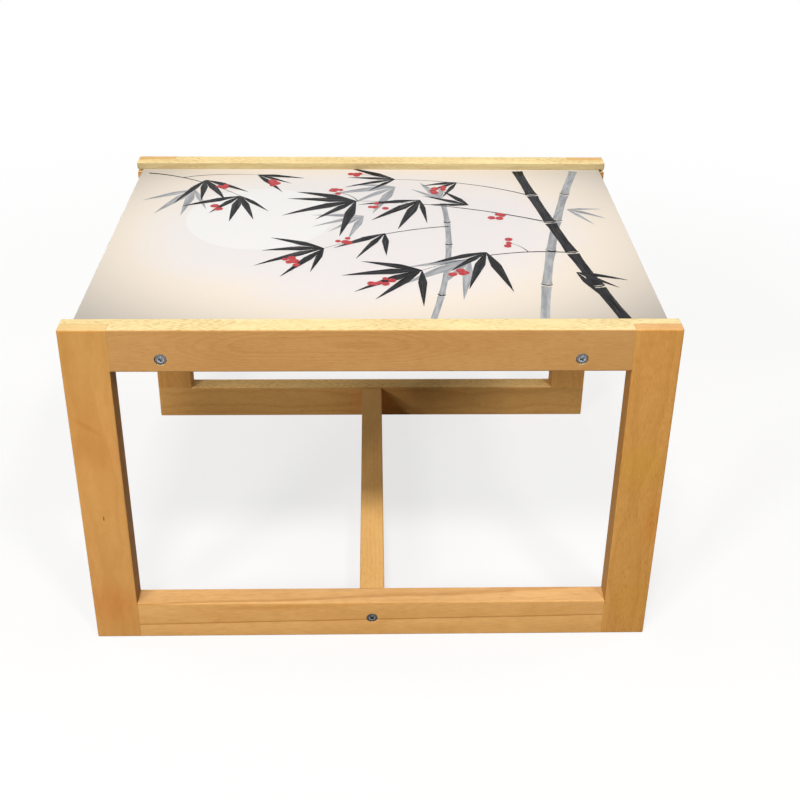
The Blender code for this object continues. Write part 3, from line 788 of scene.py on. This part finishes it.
def stem(sheet, pick, start, bend, end, width, ink, joints):
    """A jointed cane, with a dark stroke across each of its joints."""
    steps = len(CANE_FLARE) - 1
    spine = bent(start, bend, end, joints * steps)
    for joint in range(joints):
        part = spine[joint * steps : (joint + 1) * steps + 1]
        first = part[0].lerp(part[1], CANE_BARE)
        last = part[-1].lerp(part[-2], CANE_BARE)
        widths = [width * flare * pick.uniform(*CANE_WAVER) for flare in CANE_FLARE]
        sheet.stroke(ink, [first, *part[1:-1], last], widths)
        if joint:
            along = (part[1] - part[0]).normalized()
            out = Vector((-along.y, along.x))
            ends = [part[0] + out * width * side * JOINT_REACH + along * JOINT_BOW for side in (-1, 1)]
            across = bent(ends[0], part[0] - along * JOINT_BOW, ends[1], len(JOINT_WIDTHS) - 1)
            sheet.stroke("ink", across, JOINT_WIDTHS)


def twig(sheet, start, bend, end, width):
    """A fine twig that thins to its end."""
    spine = bent(start, bend, end, TWIG_STEPS)
    sheet.stroke("ink", spine, [width * (1 - TWIG_TAPER * step) for step in range(TWIG_STEPS + 1)])


def draw_print():
    """A plain ink picture for the panel: canes at one side, and fine twigs with leaves and red berries."""
    pick = random.Random(PRINT_SEED)
    sheet = Print()
    for points, ink, width, joints in CANES:
        stem(sheet, pick, *points, width, ink, joints)
    for root, angle, number, size in WASH_LEAVES:
        cluster(sheet, "wash", pick, Vector(root), math.radians(angle), number, size)
    for start, bend, end, width in TWIGS:
        twig(sheet, start, bend, end, width)
    for root, angle, number, size in INK_LEAVES:
        cluster(sheet, "ink", pick, Vector(root), math.radians(angle), number, size)
    for place, number, spread in BERRIES:
        for _ in range(number):
            turn = pick.uniform(0, 2 * math.pi)
            reach = spread * pick.uniform(*BERRY_REACH)
            centre = Vector(place) + Vector((math.cos(turn), math.sin(turn))) * reach
            sheet.dot("berry", centre, pick.uniform(*BERRY_RADIUS))
    sheet.finish()


def film(shape, axis, level, first, second, eased):
    """A thin sheet across an axis, between two pairs of bounds, with its eased corners rounded."""
    u_low, u_high = sorted(first)
    v_low, v_high = sorted(second)
    # Each corner, the way inward from it, and the angle at which its arc begins
    corners = (
        (u_low, v_low, 1, 1, 180),
        (u_high, v_low, -1, 1, 270),
        (u_high, v_high, -1, -1, 0),
        (u_low, v_high, 1, -1, 90),
    )
    outline = []
    for u, v, to_u, to_v, turn in corners:
        if (u, v) not in eased:
            outline.append((u, v))
            continue
        for step in range(ARRIS_STEPS + 1):
            angle = math.radians(turn + 90 * step / ARRIS_STEPS)
            arc_u = u + ARRIS_RADIUS * (to_u + math.cos(angle))
            arc_v = v + ARRIS_RADIUS * (to_v + math.sin(angle))
            outline.append((arc_u, arc_v))
    sheets = []
    for offset in (-GLUE_THICKNESS / 2, GLUE_THICKNESS / 2):
        places = [[*point[:axis], level + offset, *point[axis:]] for point in outline]
        sheets.append([shape.verts.new(place) for place in places])
        shape.faces.new(sheets[-1])
    below, above = sheets
    for index in range(len(outline)):
        after = (index + 1) % len(outline)
        shape.faces.new((below[index], below[after], above[after], above[index]))


def glue_lap(leg, rail, material):
    """The glue in a half lap: at the rail's shoulder, between the two halves and at the leg's shoulder."""
    leg_low, leg_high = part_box(leg)
    rail_low, rail_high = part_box(rail)
    inner_x, outer_x = sorted((leg_low.x, leg_high.x), key=abs)
    inner_y, outer_y = sorted((leg_low.y, leg_high.y), key=abs)
    window_z, end_z = rail_low.z, rail_high.z
    if rail_low.z < GLUE_GAP:
        window_z, end_z = end_z, window_z
    lap_y = (inner_y + outer_y) / 2
    side = math.copysign(1, outer_x)
    facing = math.copysign(1, outer_y)
    upward = math.copysign(1, end_z - window_z)
    outer_x -= side * GLUE_INSET
    outer_y -= facing * GLUE_INSET
    inner_y += facing * GLUE_INSET
    end_z -= upward * GLUE_INSET
    shape = bmesh.new()
    shoulder_x = inner_x - side * GLUE_GAP / 2
    eased = [(outer_y, window_z), (outer_y, end_z)]
    film(shape, 0, shoulder_x, (lap_y, outer_y), (window_z, end_z), eased)
    film(shape, 1, lap_y, (inner_x, outer_x), (window_z, end_z), [(outer_x, end_z)])
    shoulder_z = window_z - upward * GLUE_GAP / 2
    eased = [(inner_x, inner_y), (outer_x, inner_y)]
    film(shape, 2, shoulder_z, (inner_x, outer_x), (lap_y, inner_y), eased)
    bmesh.ops.recalc_face_normals(shape, faces=shape.faces)
    piece = new_object(leg + "_" + rail.split("_")[1] + "_glue", shape, material)
    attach(piece, "root")


def assign(names, material):
    """Gives CAD nodes a material."""
    for name in names:
        obj = NODES[name]
        obj.data.materials.clear()
        obj.data.materials.append(material)


def look_at(place, target):
    """The turn of a lamp at a place that faces a target."""
    direction = Vector(target) - Vector(place)
    return direction.to_track_quat("-Z", "Y")


def add_camera():
    """The camera at the photograph's angle."""
    data = bpy.data.cameras.new("camera")
    data.sensor_width = SENSOR_MM
    data.lens = FOCAL_PIXELS / IMAGE_SIDE * SENSOR_MM
    data.shift_y = (CENTRE_ROW - IMAGE_SIDE / 2) / IMAGE_SIDE
    camera = bpy.data.objects.new("camera", data)
    bpy.context.scene.collection.objects.link(camera)
    forward = Vector(
        (
            math.sin(CAMERA_YAW) * math.cos(CAMERA_PITCH),
            math.cos(CAMERA_YAW) * math.cos(CAMERA_PITCH),
            math.sin(CAMERA_PITCH),
        )
    )
    level = Vector((math.cos(CAMERA_YAW), -math.sin(CAMERA_YAW), 0.0))
    upright = level.cross(forward)
    right = level * math.cos(CAMERA_ROLL) + upright * math.sin(CAMERA_ROLL)
    up = upright * math.cos(CAMERA_ROLL) - level * math.sin(CAMERA_ROLL)
    turn = Matrix((right, up, -forward)).transposed().to_4x4()
    camera.matrix_world = Matrix.Translation(CAMERA_PLACE) @ turn
    bpy.context.scene.camera = camera


def add_lamps():
    """Soft studio lamps, which the camera doesn't see."""
    for name, (place, target, side, watts) in LAMPS.items():
        data = bpy.data.lights.new(name, "AREA")
        data.size = side
        data.energy = watts
        data.color = LAMP_COLOUR
        lamp = bpy.data.objects.new(name, data)
        bpy.context.scene.collection.objects.link(lamp)
        lamp.location = place
        lamp.rotation_mode = "QUATERNION"
        lamp.rotation_quaternion = look_at(place, target)
        lamp.visible_camera = False
        lamp.visible_glossy = name not in LAMPS_NOT_MIRRORED


def seen_directly(g):
    """Is this ray a look at the background, straight or by way of a gloss or through glass?"""
    path = g.nodes.new("ShaderNodeLightPath")
    seen = path.outputs["Is Camera Ray"]
    for key in ("Is Glossy Ray", "Is Transmission Ray"):
        seen = g.maths("MAXIMUM", seen, path.outputs[key])
    return seen


def add_world():
    """White surroundings that light the table only a little."""
    world = bpy.data.worlds.new("studio")
    bpy.context.scene.world = world
    g = Graph(world)
    background = g.nodes["Background"].inputs
    strengths = {"Value": seen_directly(g), "To Min": WORLD_LIGHT, "To Max": 1.0}
    g.feed(background["Color"], WHITE)
    g.feed(background["Strength"], g.add("ShaderNodeMapRange", strengths))


def add_floor():
    """A pale floor that keeps the table's shadow and turns to plain white farther out."""
    g = Graph(bpy.data.materials.new("pale_floor"))
    g.nodes.remove(g.nodes["Principled BSDF"])
    matt = g.add("ShaderNodeBsdfDiffuse", {"Color": FLOOR_COLOUR})
    dim = g.add("ShaderNodeBsdfDiffuse", {"Color": [channel * FLOOR_BOUNCE for channel in FLOOR_COLOUR]})
    glow = g.add("ShaderNodeEmission", {"Color": WHITE})
    whitened = g.step(g.length(g.place()), FLOOR_WHITE_FROM, FLOOR_WHITE_AT, FLOOR_GLOW)
    lit = g.add("ShaderNodeMixShader", {0: whitened, 1: matt, 2: glow})
    surface = g.add("ShaderNodeMixShader", {0: seen_directly(g), 1: dim, 2: lit})
    g.feed(g.nodes["Material Output"].inputs["Surface"], surface)
    shape = bmesh.new()
    bmesh.ops.create_grid(shape, x_segments=1, y_segments=1, size=FLOOR_SIDE / 2)
    floor = new_object("floor", shape, g.owner)


for board, facts in BOARDS.items():
    assign([board], beech(board, *facts))
assign([name for name in NODES if name.endswith("_dowel")], dowel_wood())
for fitting in NODES:
    if fitting.endswith(("_bolt", "_barrel_nut")):
        assign([fitting], zinc(fitting))
assign(["top_panel"], panel_ground())
draw_print()
film_of_glue = glue()
for end in ("front", "back"):
    for hand in ("left", "right"):
        for level in ("top", "bottom"):
            glue_lap(end + "_" + hand + "_leg", end + "_" + level + "_rail", film_of_glue)

add_camera()
add_lamps()
add_world()
add_floor()
bpy.context.scene.view_settings.view_transform = "Standard"
